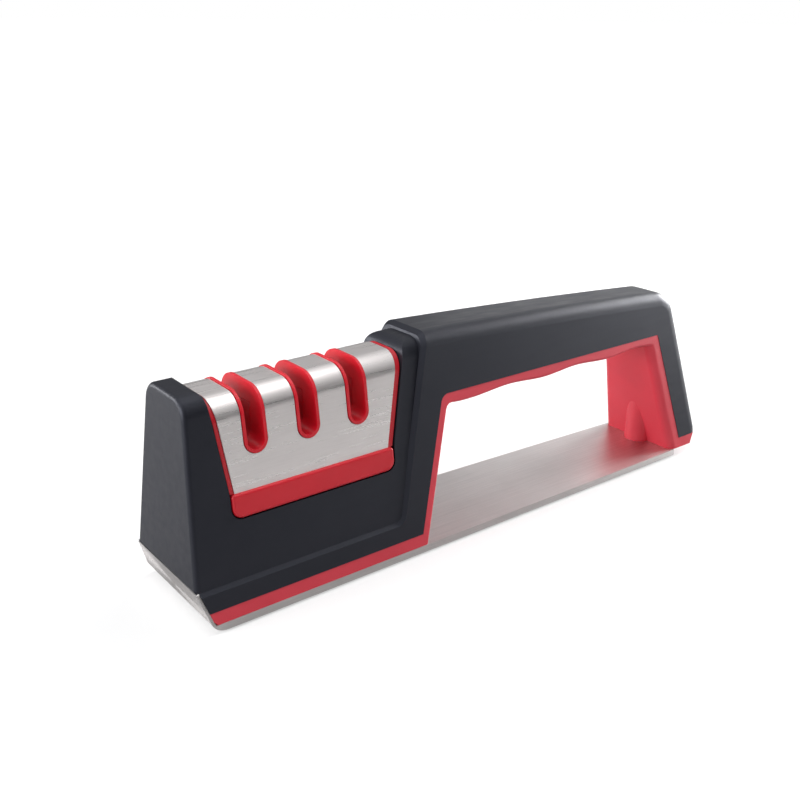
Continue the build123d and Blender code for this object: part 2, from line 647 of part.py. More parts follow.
left_shoulder_x = notch_left_x(END_WALL_TOP)
left_end_x = left_shoulder_x - 1.5 * END_SHOULDER
right_shoulder_x = notch_right_x(COLLAR_TOP)
right_end_x = right_shoulder_x + 1.5 * COLLAR_SHOULDER
with BuildSketch(Plane.XZ) as notch_outline:
    with BuildLine():
        Polyline(
            (left_end_x, TALL),
            (left_end_x, head_top_z(left_end_x)),
            (left_shoulder_x, head_top_z(left_shoulder_x)),
            (NOTCH_LEFT, NOTCH_FLARE),
            (NOTCH_LEFT, NOTCH_FLOOR),
            (NOTCH_RIGHT, NOTCH_FLOOR),
            (NOTCH_RIGHT, NOTCH_FLARE),
            (right_shoulder_x, head_top_z(right_shoulder_x)),
            (right_end_x, head_top_z(right_end_x)),
            (right_end_x, TALL),
            close=True,
        )
    make_face()
    for corner, radius in (
        ((NOTCH_LEFT, NOTCH_FLARE), NOTCH_FLARE_RADIUS),
        ((NOTCH_RIGHT, NOTCH_FLARE), NOTCH_FLARE_RADIUS),
        ((NOTCH_LEFT, NOTCH_FLOOR), LEDGE_RADIUS + SEAT_GAP),
        ((NOTCH_RIGHT, NOTCH_FLOOR), LEDGE_RADIUS + SEAT_GAP),
        ((left_shoulder_x, head_top_z(left_shoulder_x)), END_SHOULDER),
        ((right_shoulder_x, head_top_z(right_shoulder_x)), COLLAR_SHOULDER),
    ):
        fillet(notch_outline.vertices().sort_by_distance(corner)[0], radius=radius)


def head_block(radius, keep):
    """One end of the head, on one side of the middle slot, rounded along its top."""
    with BuildPart() as block:
        add(between_sides(head_outline.sketch, head_side, 0))
        fillet(top_corner_edges(block, END_WALL_TOP - radius, TALL), radius=radius)
        split(bisect_by=Plane.YZ.offset(SLOT_MIDDLE), keep=keep)
    return block.part


with BuildPart() as head_form:
    add(head_block(END_WALL_RADIUS, Keep.BOTTOM))
    add(head_block(COLLAR_RADIUS, Keep.TOP))
    end_edges = head_form.edges().filter_by(
        lambda edge: abs((edge @ 0.5).X - end_face_x((edge @ 0.5).Z)) < 0.5
        and abs((edge @ 0).Z - (edge @ 1).Z) > END_WALL_RADIUS
    )
    fillet(end_edges, radius=END_RADIUS)
    extrude(notch_outline.sketch, amount=THROUGH, dir=(0, 1, 0), both=True, mode=Mode.SUBTRACT)

# Outer shell: hollow inside, open towards the inner frame
notch_under = NOTCH_FLOOR - SHELL_WALL
collar_under = COLLAR_TOP - 2 * SHELL_WALL
with BuildSketch(Plane.XZ) as hollow_outline:
    with BuildLine():
        ThreePointArc(
            (step_line_x(CREST_FRONT) + SHELL_WALL, CREST_FRONT - SHELL_WALL),
            (crest_mid_x, CREST_MID - SHELL_WALL),
            (leg_face_x(CREST_REAR) - SHELL_WALL, CREST_REAR - SHELL_WALL),
        )
        Polyline(
            (leg_face_x(CREST_REAR) - SHELL_WALL, CREST_REAR - SHELL_WALL),
            (REAR - SHELL_WALL, HEEL_HEIGHT),
            (heel_x(BAND_BOTTOM) - SHELL_WALL, BAND_BOTTOM),
            (rear_line_x(BAND_BOTTOM), BAND_BOTTOM),
            (rear_line_x(GRIP_UNDER), GRIP_UNDER),
            (front_line_x(GRIP_UNDER), GRIP_UNDER),
            (front_line_x(BAND_BOTTOM), BAND_BOTTOM),
            (flap_x(BAND_BOTTOM, SHEET) + SHELL_WALL, BAND_BOTTOM),
            (end_face_x(notch_under) + SHELL_WALL, notch_under),
            (end_face_x(CORE_HEIGHT) + SHELL_WALL, CORE_HEIGHT),
            (notch_left_x(CORE_HEIGHT) - SHELL_WALL, CORE_HEIGHT),
            (NOTCH_LEFT - SHELL_WALL, NOTCH_FLARE),
            (NOTCH_LEFT - SHELL_WALL, notch_under),
            (NOTCH_RIGHT + SHELL_WALL, notch_under),
            (NOTCH_RIGHT + SHELL_WALL, NOTCH_FLARE),
            (notch_right_x(collar_under) + SHELL_WALL, collar_under),
            (step_line_x(collar_under) + SHELL_WALL, collar_under),
            (step_line_x(CREST_FRONT) + SHELL_WALL, CREST_FRONT - SHELL_WALL),
        )
    make_face()
    for corner, radius in (
        ((leg_face_x(CREST_REAR) - SHELL_WALL, CREST_REAR - SHELL_WALL), CREST_RADIUS - SHELL_WALL),
        ((front_line_x(GRIP_UNDER), GRIP_UNDER), GRIP_CORNER),
    ):
        fillet(hollow_outline.vertices().sort_by_distance(corner)[0], radius=radius)

with BuildPart() as outer_shell:
    add(band_form.part)
    add(head_form.part)
    add(between_sides(hollow_outline.sketch, head_side, SHELL_WALL), mode=Mode.SUBTRACT)
    with Locations(*[(x, y, BAND_BOTTOM) for x, y in shell_screw_spots]):
        Cylinder(
            boss_radius,
            NOTCH_FLOOR - SHELL_WALL / 2 - BAND_BOTTOM,
            align=(Align.CENTER, Align.CENTER, Align.MIN),
        )
        Cylinder(
            SCREW_RADIUS + SCREW_GAP,
            PLATE_TOP + COUNTERBORE + SHELL_SCREW_LENGTH + SCREW_GAP - BAND_BOTTOM,
            align=(Align.CENTER, Align.CENTER, Align.MIN),
            mode=Mode.SUBTRACT,
        )
    with BuildSketch(Plane.XY.offset(LEDGE_BOTTOM - SPIGOT_DEPTH - SPIGOT_GAP)):
        with Locations((SPIGOT_X, 0)):
            RectangleRounded(
                SPIGOT_LENGTH + 2 * SPIGOT_GAP,
                SPIGOT_WIDTH + 2 * SPIGOT_GAP,
                SPIGOT_RADIUS + SPIGOT_GAP,
            )
    extrude(amount=SPIGOT_DEPTH + SPIGOT_GAP, mode=Mode.SUBTRACT)
outer_shell.part.label = "outer_shell"


def cartridge_block(bottom, depth, inset, radius):
    """Block between the notch walls, rounded along its top, which is parallel to the head's.

    Depth goes down from the cover's top line and inset goes in from the head's sides.
    """
    left_x = notch_left_x(END_WALL_TOP - COVER_DROP - depth) + NOTCH_GAP
    right_x = notch_right_x(COLLAR_TOP - COVER_DROP - depth) - NOTCH_GAP
    with BuildSketch(Plane.XZ) as block_outline:
        with BuildLine():
            Polyline(
                (left_x, head_top_z(left_x) - COVER_DROP - depth),
                (notch_left_x(bottom) + NOTCH_GAP, bottom),
                (notch_right_x(bottom) - NOTCH_GAP, bottom),
                (right_x, head_top_z(right_x) - COVER_DROP - depth),
                close=True,
            )
        make_face()
    with BuildPart() as block:
        add(between_sides(block_outline.sketch, head_side, inset))
        fillet(top_corner_edges(block, SLOT_BOTTOM, TALL), radius=radius)
    return block.part


def slot_profiles(grow):
    """Outlines of the three knife slots, grown all round."""
    radius = SLOT_WIDTH / 2 + grow
    with BuildSketch(Plane.XZ) as slots:
        with Locations(*[(x, SLOT_BOTTOM + SLOT_WIDTH / 2) for x in SLOT_CENTRES]):
            Circle(radius)
            Rectangle(2 * radius, TALL, align=(Align.CENTER, Align.MIN))
    return slots.sketch


# Cartridge: carriage with the ledge above and the hollow spigot below
with BuildSketch(Plane.XZ) as ledge_outline:
    with BuildLine():
        Polyline(
            (LEDGE_LEFT, LEDGE_BOTTOM),
            (LEDGE_RIGHT, LEDGE_BOTTOM),
            (LEDGE_RIGHT, LEDGE_TOP),
            (LEDGE_LEFT, LEDGE_TOP),
            close=True,
        )
    make_face()
    fillet(ledge_outline.vertices().group_by(Axis.Y)[0], radius=LEDGE_RADIUS)
    fillet(ledge_outline.vertices().group_by(Axis.Y)[-1], radius=LEDGE_TOP_RADIUS)

with BuildPart() as cartridge_carriage:
    add(between_sides(ledge_outline.sketch, head_side, -LEDGE_PROUD))
    ledge_edges = cartridge_carriage.edges().filter_by(
        lambda edge: abs((edge @ 0).Y) > SPIGOT_WIDTH / 2 and abs((edge @ 1).Y) > SPIGOT_WIDTH / 2
        and (edge @ 0).Y * (edge @ 1).Y > 0
    )
    fillet(ledge_edges, radius=LEDGE_EDGE)
    with BuildSketch(Plane.XY.offset(LEDGE_BOTTOM - SPIGOT_DEPTH)):
        with Locations((SPIGOT_X, 0)):
            RectangleRounded(SPIGOT_LENGTH, SPIGOT_WIDTH, SPIGOT_RADIUS)
    extrude(amount=SPIGOT_DEPTH + LEDGE_EDGE)
    with BuildSketch(Plane.XY.offset(LEDGE_BOTTOM - SPIGOT_DEPTH)):
        with Locations((SPIGOT_X, 0)):
            Rectangle(SPIGOT_LENGTH - 2 * SPIGOT_WALL, SPIGOT_WIDTH - 2 * SPIGOT_WALL)
    extrude(amount=SPIGOT_ROOF - LEDGE_BOTTOM + SPIGOT_DEPTH, mode=Mode.SUBTRACT)
    with Locations(*[(x, y, LEDGE_TOP) for x, y in cartridge_screw_spots]):
        Hole(CARTRIDGE_SCREW_RADIUS + SCREW_CLEARANCE)
cartridge_carriage.part.label = "cartridge_carriage"

with BuildPart() as cartridge_screws:
    cartridge_screw = screw(
        CARTRIDGE_SCREW_LENGTH, CARTRIDGE_SCREW_RADIUS, CARTRIDGE_HEAD_RADIUS, CARTRIDGE_HEAD
    )
    with Locations(*[(x, y, SPIGOT_ROOF) for x, y in cartridge_screw_spots]):
        add(cartridge_screw)
cartridge_screws.part.label = "cartridge_screws"

# Cartridge: core with the slots, their rims and the end flanges
def end_strips(grow):
    """Outlines of the two end flanges, grown along X on both sides."""
    with BuildSketch(Plane.XZ) as strips:
        for wall_x, start, end in (
            (notch_left_x, NOTCH_GAP - grow, NOTCH_GAP + LEFT_FLANGE + grow),
            (notch_right_x, -NOTCH_GAP + grow, -NOTCH_GAP - RIGHT_FLANGE - grow),
        ):
            with BuildLine():
                Polyline(
                    (wall_x(SPIGOT_ROOF) + start, SPIGOT_ROOF),
                    (wall_x(SPIGOT_ROOF) + end, SPIGOT_ROOF),
                    (wall_x(TALL) + end, TALL),
                    (wall_x(TALL) + start, TALL),
                    close=True,
                )
            make_face()
    return strips.sketch


with BuildPart() as rims:
    extrude(slot_profiles(RIM_WIDTH), amount=THROUGH, dir=(0, 1, 0), both=True)
    add(
        cartridge_block(LEDGE_TOP, -RIM_PROUD, COVER_BACK - RIM_PROUD, COVER_RADIUS + RIM_PROUD),
        mode=Mode.INTERSECT,
    )

with BuildPart() as end_flanges:
    extrude(end_strips(0), amount=THROUGH, dir=(0, 1, 0), both=True)
    add(
        cartridge_block(LEDGE_TOP, FLANGE_BACK, COVER_BACK + FLANGE_BACK, COVER_RADIUS - FLANGE_BACK),
        mode=Mode.INTERSECT,
    )

with BuildPart() as slot_core:
    add(cartridge_block(LEDGE_TOP, CORE_DEPTH, COVER_BACK + CORE_DEPTH, COVER_RADIUS - CORE_DEPTH))
    add(rims.part)
    add(end_flanges.part)
    extrude(slot_profiles(0), amount=THROUGH, dir=(0, 1, 0), both=True, mode=Mode.SUBTRACT)
    with Locations(*[(x, 0, LEDGE_TOP) for x in SLOT_CENTRES]):
        Box(
            HOLDER_LENGTH + 2 * HOLDER_GAP,
            HOLDER_WIDTH + 2 * HOLDER_GAP,
            HOLDER_TOP + HOLDER_GAP - LEDGE_TOP,
            align=(Align.CENTER, Align.CENTER, Align.MIN),
            mode=Mode.SUBTRACT,
        )
    with Locations(*[(x, y, LEDGE_TOP) for x, y in cartridge_screw_spots]):
        Cylinder(
            CARTRIDGE_SCREW_RADIUS + SCREW_GAP,
            SPIGOT_ROOF + CARTRIDGE_SCREW_LENGTH + SCREW_GAP - LEDGE_TOP,
            align=(Align.CENTER, Align.CENTER, Align.MIN),
            mode=Mode.SUBTRACT,
        )
slot_core.part.label = "slot_core"

# Cartridge: brushed cover, one sheet folded over the core
with BuildPart() as cartridge_cover:
    add(cartridge_block(LEDGE_TOP, 0, COVER_BACK, COVER_RADIUS))
    add(
        cartridge_block(
            LEDGE_TOP - COVER_SHEET,
            COVER_SHEET,
            COVER_BACK + COVER_SHEET,
            COVER_RADIUS - COVER_SHEET,
        ),
        mode=Mode.SUBTRACT,
    )
    extrude(
        slot_profiles(RIM_WIDTH + RIM_GAP), amount=THROUGH, dir=(0, 1, 0), both=True, mode=Mode.SUBTRACT
    )
    extrude(end_strips(COVER_END_GAP), amount=THROUGH, dir=(0, 1, 0), both=True, mode=Mode.SUBTRACT)
cartridge_cover.part.label = "cartridge_cover"


# Sharpening stages: a holder in each slot, with two crossed rods or blades
def stage_place(x, side, crossing, half_depth):
    """Where one rod or blade of a pair crosses the slot's middle, leaning outward going up."""
    y = side * (half_depth + STAGE_GAP + STAGE_WALL / 2)
    return Location((x, y, SLOT_BOTTOM - crossing), (0, side * STAGE_LEAN, 0))


def stage_above(crossing, half_width_x):
    """Length of a rod or blade above the crossing."""
    rise = HOLDER_TOP - STAGE_HEAD - SLOT_BOTTOM + crossing
    return rise / cos(radians(STAGE_LEAN)) - half_width_x * tan(radians(STAGE_LEAN))


def stage_below(crossing, half_width_x):
    """Length of a rod or blade below the crossing."""
    drop = SLOT_BOTTOM - crossing - LEDGE_TOP - STAGE_FOOT
    return drop / cos(radians(STAGE_LEAN)) - half_width_x * tan(radians(STAGE_LEAN))


def rod(x, side, grow=0.0, below=stage_below(ROD_CROSSING, ROD_RADIUS)):
    above = stage_above(ROD_CROSSING, ROD_RADIUS) + grow
    with BuildPart() as one_rod:
        with Locations(stage_place(x, side, ROD_CROSSING, ROD_RADIUS)):
            with Locations((0, 0, -below)):
                Cylinder(ROD_RADIUS + grow, above + below, align=(Align.CENTER, Align.CENTER, Align.MIN))
    return one_rod.part


def blade(x, side, grow=0.0, below=stage_below(BLADE_CROSSING, BLADE_WIDTH / 2)):
    above = stage_above(BLADE_CROSSING, BLADE_WIDTH / 2) + grow
    with BuildPart() as one_blade:
        with Locations(stage_place(x, side, BLADE_CROSSING, BLADE_THICK / 2)):
            with Locations((0, 0, -below)):
                Box(
                    BLADE_WIDTH + 2 * grow,
                    BLADE_THICK + 2 * grow,
                    above + below,
                    align=(Align.CENTER, Align.CENTER, Align.MIN),
                )
    return one_blade.part


def holder(x, seats):
    """Block in the core under one slot, open along the slot and along the seats."""
    with BuildPart() as block:
        with Locations((x, 0, LEDGE_TOP)):
            Box(
                HOLDER_LENGTH,
                HOLDER_WIDTH,
                HOLDER_TOP - LEDGE_TOP,
                align=(Align.CENTER, Align.CENTER, Align.MIN),
            )
        extrude(slot_profiles(0), amount=THROUGH, dir=(0, 1, 0), both=True, mode=Mode.SUBTRACT)
        for seat in seats:
            add(seat, mode=Mode.SUBTRACT)
    return block.part


coarse_x, medium_x, fine_x = SLOT_CENTRES
seat_below = (SLOT_BOTTOM - LEDGE_TOP) / cos(radians(STAGE_LEAN))
clamp_z = SLOT_BOTTOM - BLADE_CROSSING
clamp_head_y = -HOLDER_WIDTH / 2 + CLAMP_HEAD
clamp_place = Location((coarse_x, clamp_head_y, clamp_z), (-90, 0, 0))

with BuildPart() as blade_clamp_screw:
    clamp_screw = screw(CLAMP_SCREW_LENGTH, CLAMP_SCREW_RADIUS, CLAMP_HEAD_RADIUS, CLAMP_HEAD)
    with Locations(clamp_place):
        add(clamp_screw)
blade_clamp_screw.part.label = "blade_clamp_screw"

with BuildPart() as clamp_hole:
    with Locations(clamp_place):
        Cylinder(
            CLAMP_SCREW_RADIUS + SCREW_GAP,
            CLAMP_SCREW_LENGTH + SCREW_GAP,
            align=(Align.CENTER, Align.CENTER, Align.MIN),
        )
        with Locations((0, 0, -2 * CLAMP_HEAD)):
            Cylinder(
                CLAMP_HEAD_RADIUS + HOLDER_GAP,
                2 * CLAMP_HEAD,
                align=(Align.CENTER, Align.CENTER, Align.MIN),
            )

with BuildPart() as coarse_holder:
    add(holder(coarse_x, [blade(coarse_x, side, STAGE_GAP, seat_below) for side in (-1, 1)]))
    add(clamp_hole.part, mode=Mode.SUBTRACT)
coarse_holder.part.label = "coarse_holder"

with BuildPart() as medium_holder:
    add(holder(medium_x, [rod(medium_x, side, STAGE_GAP, seat_below) for side in (-1, 1)]))
medium_holder.part.label = "medium_holder"

with BuildPart() as fine_holder:
    add(holder(fine_x, [rod(fine_x, side, STAGE_GAP, seat_below) for side in (-1, 1)]))
fine_holder.part.label = "fine_holder"

abrasives = []
for side, end in ((-1, "left"), (1, "right")):
    with BuildPart() as coarse_blade:
        add(blade(coarse_x, side))
        chamfer(coarse_blade.edges().filter_by(lambda edge: edge.length > HOLDER_LENGTH), length=BLADE_EDGE)
        add(clamp_hole.part, mode=Mode.SUBTRACT)
    coarse_blade.part.label = f"coarse_blade_{end}"
    abrasives.append(coarse_blade.part)
    for x, stage in ((medium_x, "medium"), (fine_x, "fine")):
        with BuildPart() as stage_rod:
            add(rod(x, side))
        stage_rod.part.label = f"{stage}_rod_{end}"
        abrasives.append(stage_rod.part)

# Files, one for each piece
os.makedirs("parts", exist_ok=True)
pieces = [
    base_plate,
    front_grip_pad,
    rear_grip_pad,
    base_screws,
    shell_screws,
    inner_frame,
    outer_shell,
    cartridge_carriage,
    cartridge_screws,
    slot_core,
    cartridge_cover,
    coarse_holder,
    medium_holder,
    fine_holder,
    blade_clamp_screw,
]
for part in [piece.part for piece in pieces] + abrasives:
    export_step(part, f"parts/{part.label}.step")
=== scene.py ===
"""Looks of the three-slot knife sharpener: materials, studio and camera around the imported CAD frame."""

import math

import bpy
from mathutils import Matrix, Vector


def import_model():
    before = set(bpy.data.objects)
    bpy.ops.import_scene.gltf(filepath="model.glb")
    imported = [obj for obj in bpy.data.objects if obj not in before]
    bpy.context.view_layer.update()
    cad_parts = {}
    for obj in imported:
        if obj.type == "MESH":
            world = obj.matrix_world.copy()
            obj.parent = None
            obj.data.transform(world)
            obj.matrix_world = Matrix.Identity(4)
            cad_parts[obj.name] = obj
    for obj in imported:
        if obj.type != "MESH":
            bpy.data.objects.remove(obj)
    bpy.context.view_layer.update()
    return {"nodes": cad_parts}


MM = 0.001

# Camera, placed where the part's edges line up with the photograph's
EYE = (-205.2, -235.2, 157.3)  # mm
YAW, PITCH, ROLL = 0.651, 0.364, 0.010  # radians
SENSOR_WIDTH = 36.0  # mm
FOCAL_LENGTH = 45.3  # mm

# Floor: what it reflects, and how far it is lifted to white for the camera, in metres from the middle
FLOOR_HALF = 30.0
FLOOR_GREY = 0.44
LIFT_FROM, LIFT_TO = 0.18, 0.6
LIFT_NEAR, LIFT_FAR = 0.50, 1.0

# Room's light: strength from behind, from above and from the head's end
BEHIND, ABOVE, BESIDE = 0.11, 0.72, 0.48
ROOM_TINT = (0.98, 0.99, 1.0)

SOFTBOX_TARGET = (0, 0, 0.03)
SOFTBOXES = (  # name, place and size in metres, watts
    ("top", (0.00, 0.00, 0.90), (0.9, 0.6), 2.2),
    ("left", (-0.90, 0.00, 0.30), (0.5, 0.4), 5.3),
    ("left_back", (-0.75, 0.75, 0.16), (0.7, 0.3), 5.5),
    ("right", (0.90, 0.00, 0.30), (0.5, 0.4), 14.5),
    ("right_back", (0.80, 0.60, 0.30), (0.5, 0.4), 0.6),
    ("right_front", (0.80, -0.42, 0.08), (0.35, 0.15), 1.2),
)

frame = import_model()
nodes = frame["nodes"]


# Node helpers
def new_material(name):
    """A material with a Principled shader; returns the material, its node tree and the shader."""
    made = bpy.data.materials.new(name)
    made.use_nodes = True
    return made, made.node_tree, made.node_tree.nodes["Principled BSDF"]


def link(tree, output, target):
    tree.links.new(output, target)


def position(tree, scale=(1, 1, 1), turn=(0, 0, 0)):
    """The point's place on the object, in metres, times scale on each axis."""
    place = tree.nodes.new("ShaderNodeTexCoord")
    mapping = tree.nodes.new("ShaderNodeMapping")
    mapping.inputs["Scale"].default_value = scale
    mapping.inputs["Rotation"].default_value = turn
    link(tree, place.outputs["Object"], mapping.inputs["Vector"])
    return mapping.outputs["Vector"]


def noise(tree, vector, scale, detail=4.0, roughness=0.55):
    """Noise from 0 to 1."""
    node = tree.nodes.new("ShaderNodeTexNoise")
    node.inputs["Scale"].default_value = scale
    node.inputs["Detail"].default_value = detail
    node.inputs["Roughness"].default_value = roughness
    link(tree, vector, node.inputs["Vector"])
    return node.outputs["Fac"]


def spread(tree, value, low, high, out_low, out_high):
    """Maps value from low..high to out_low..out_high, clamped."""
    node = tree.nodes.new("ShaderNodeMapRange")
    node.inputs["From Min"].default_value = low
    node.inputs["From Max"].default_value = high
    node.inputs["To Min"].default_value = out_low
    node.inputs["To Max"].default_value = out_high
    link(tree, value, node.inputs["Value"])
    return node.outputs["Result"]


def blend_colors(tree, factor, first, second):
    """Mix of two colours; each is an RGB tuple or a node output."""
    node = tree.nodes.new("ShaderNodeMix")
    node.data_type = "RGBA"
    link(tree, factor, node.inputs[0])
    for source, socket in ((first, node.inputs[6]), (second, node.inputs[7])):
        if isinstance(source, tuple):
            socket.default_value = (*source, 1.0)
        else:
            link(tree, source, socket)
    return node.outputs[2]


def add_heights(tree, *heights):
    """Sum of (value, weight) pairs, as one height for a bump."""
    total = None
    for value, weight in heights:
        scaled = tree.nodes.new("ShaderNodeMath")
        scaled.operation = "MULTIPLY_ADD"
        link(tree, value, scaled.inputs[0])
        scaled.inputs[1].default_value = weight
        if total is None:
            scaled.inputs[2].default_value = 0.0
        else:
            link(tree, total, scaled.inputs[2])
        total = scaled.outputs[0]
    return total


def bump(tree, shader, height, distance, strength=1.0):
    node = tree.nodes.new("ShaderNodeBump")
    node.inputs["Strength"].default_value = strength
    node.inputs["Distance"].default_value = distance
    link(tree, height, node.inputs["Height"])
    link(tree, node.outputs["Normal"], shader.inputs["Normal"])


# Materials
def black_plastic():
    """Dark charcoal ABS with a fine spark-eroded texture and faint handling marks."""
    made, tree, shader = new_material("black_plastic")
    place = position(tree)
    patches = noise(tree, place, 45.0, 3.0)
    grain = noise(tree, place, 2600.0, 2.0)
    flow = noise(tree, position(tree, (14, 60, 60)), 6.0, 5.0)
    tone = spread(tree, patches, 0.3, 0.7, 0.0, 1.0)
    color = blend_colors(tree, tone, (0.0048, 0.0050, 0.0085), (0.0068, 0.0070, 0.0108))
    link(tree, color, shader.inputs["Base Color"])
    link(tree, spread(tree, flow, 0.3, 0.7, 0.38, 0.48), shader.inputs["Roughness"])
    shader.inputs["Specular IOR Level"].default_value = 0.42
    shader.inputs["Specular Tint"].default_value = (0.82, 0.85, 1.0, 1)
    height = add_heights(tree, (grain, 1.0), (flow, 0.8), (patches, 1.5))
    bump(tree, shader, height, 0.012 * MM, 0.8)
    return made


def red_plastic(name, deep, bright, roughness):
    """Saturated red moulding, semi-gloss, with slight flow marks."""
    made, tree, shader = new_material(name)
    place = position(tree)
    patches = noise(tree, place, 60.0, 3.0)
    grain = noise(tree, place, 1800.0, 2.0)
    color = blend_colors(tree, spread(tree, patches, 0.3, 0.7, 0.0, 1.0), deep, bright)
    link(tree, color, shader.inputs["Base Color"])
    rough = spread(tree, grain, 0.3, 0.7, roughness - 0.04, roughness + 0.05)
    link(tree, rough, shader.inputs["Roughness"])
    shader.inputs["Subsurface Weight"].default_value = 0.08
    shader.inputs["Subsurface Radius"].default_value = (1.2 * MM, 0.25 * MM, 0.2 * MM)
    shader.inputs["Subsurface Scale"].default_value = 1.0
    bump(tree, shader, add_heights(tree, (grain, 0.5), (patches, 1.5)), 0.01 * MM, 0.7)
    return made


def brushed_steel(name, dark, light, roughness, stains):
    """Stainless sheet with fine scratches along X; stains is the depth of the cloudy marks."""
    made, tree, shader = new_material(name)
    fine = noise(tree, position(tree, (40, 5200, 5200)), 1.0, 3.0, 0.7)
    coarse = noise(tree, position(tree, (16, 1300, 1300)), 1.0, 4.0, 0.7)
    clouds = noise(tree, position(tree), 38.0, 4.0)
    streaks = add_heights(tree, (fine, 0.88), (coarse, 0.12))
    color = blend_colors(tree, spread(tree, streaks, 0.35, 0.65, 0.0, 1.0), dark, light)
    cloudy = spread(tree, clouds, 0.42, 0.75, 0.0, stains)
    color = blend_colors(tree, cloudy, color, tuple(0.72 * part for part in dark))
    link(tree, color, shader.inputs["Base Color"])
    shader.inputs["Metallic"].default_value = 1.0
    shader.inputs["Anisotropic"].default_value = 0.75
    across = tree.nodes.new("ShaderNodeTangent")
    across.direction_type = "RADIAL"
    across.axis = "X"
    link(tree, across.outputs["Tangent"], shader.inputs["Tangent"])
    rough = spread(tree, coarse, 0.3, 0.7, roughness - 0.05, roughness + 0.06)
    link(tree, rough, shader.inputs["Roughness"])
    bump(tree, shader, streaks, 0.004 * MM, 0.7)
    return made


def rubber():
    """Matt black rubber with a cross-hatched grip."""
    made, tree, shader = new_material("grip_rubber")
    ribs = []
    for turn in (45, -45):
        wave = tree.nodes.new("ShaderNodeTexWave")
        wave.wave_profile = "SIN"
        wave.inputs["Scale"].default_value = 120.0
        link(tree, position(tree, turn=(0, 0, math.radians(turn))), wave.inputs["Vector"])
        ribs.append(wave.outputs["Fac"])
    dust = noise(tree, position(tree), 260.0, 5.0)
    dusty = spread(tree, dust, 0.4, 0.7, 0.0, 1.0)
    color = blend_colors(tree, dusty, (0.018, 0.018, 0.018), (0.035, 0.034, 0.033))
    link(tree, color, shader.inputs["Base Color"])
    link(tree, spread(tree, dust, 0.3, 0.7, 0.72, 0.9), shader.inputs["Roughness"])
    hatching = add_heights(tree, (ribs[0], 1.0), (ribs[1], 1.0), (dust, 0.2))
    bump(tree, shader, hatching, 0.15 * MM)
    return made


def plated_steel():
    """Zinc-plated screws."""
    made, tree, shader = new_material("plated_steel")
    marks = noise(tree, position(tree), 900.0, 4.0)
    color = blend_colors(tree, marks, (0.50, 0.50, 0.52), (0.66, 0.65, 0.63))
    link(tree, color, shader.inputs["Base Color"])
    shader.inputs["Metallic"].default_value = 1.0
    link(tree, spread(tree, marks, 0.3, 0.7, 0.25, 0.42), shader.inputs["Roughness"])
    bump(tree, shader, marks, 0.01 * MM, 0.6)
    return made


def holder_plastic():
    """Deep red nylon of the holders inside the slots, darker than the core partly as painted shade of the
    deep slots.
    """
    made, tree, shader = new_material("holder_plastic")
    grain = noise(tree, position(tree), 1500.0, 3.0)
    # Deeper red than the core: partly the nylon's own colour, partly painted shade for the slots' dim
    # insides.
    color = blend_colors(tree, grain, (0.42, 0.006, 0.016), (0.50, 0.009, 0.021))
    link(tree, color, shader.inputs["Base Color"])
    link(tree, spread(tree, grain, 0.3, 0.7, 0.4, 0.55), shader.inputs["Roughness"])
    bump(tree, shader, grain, 0.01 * MM, 0.7)
    return made


def ground_carbide():
    """Bright tungsten carbide with grinding marks across the blade."""
    made, tree, shader = new_material("ground_carbide")
    marks = noise(tree, position(tree, (900, 900, 3800)), 1.0, 3.0)
    color = blend_colors(tree, marks, (0.55, 0.55, 0.56), (0.78, 0.77, 0.75))
    link(tree, color, shader.inputs["Base Color"])
    shader.inputs["Metallic"].default_value = 1.0
    link(tree, spread(tree, marks, 0.3, 0.7, 0.18, 0.34), shader.inputs["Roughness"])
    bump(tree, shader, marks, 0.008 * MM, 0.7)
    return made


def abrasive_rod(name, dark, light, metallic, grit_size, sparkle):
    """Rod covered with bonded grit; sparkle is how rough the grit's facets are at their smoothest."""
    made, tree, shader = new_material(name)
    cells = tree.nodes.new("ShaderNodeTexVoronoi")
    cells.inputs["Scale"].default_value = 1.0 / grit_size
    link(tree, position(tree), cells.inputs["Vector"])
    grains = cells.outputs["Distance"]
    color = blend_colors(tree, spread(tree, grains, 0.1, 0.6, 0.0, 1.0), light, dark)
    link(tree, color, shader.inputs["Base Color"])
    shader.inputs["Metallic"].default_value = metallic
    link(tree, spread(tree, grains, 0.1, 0.6, sparkle, 0.85), shader.inputs["Roughness"])
    bump(tree, shader, grains, 0.06 * MM, 0.9)
    return made


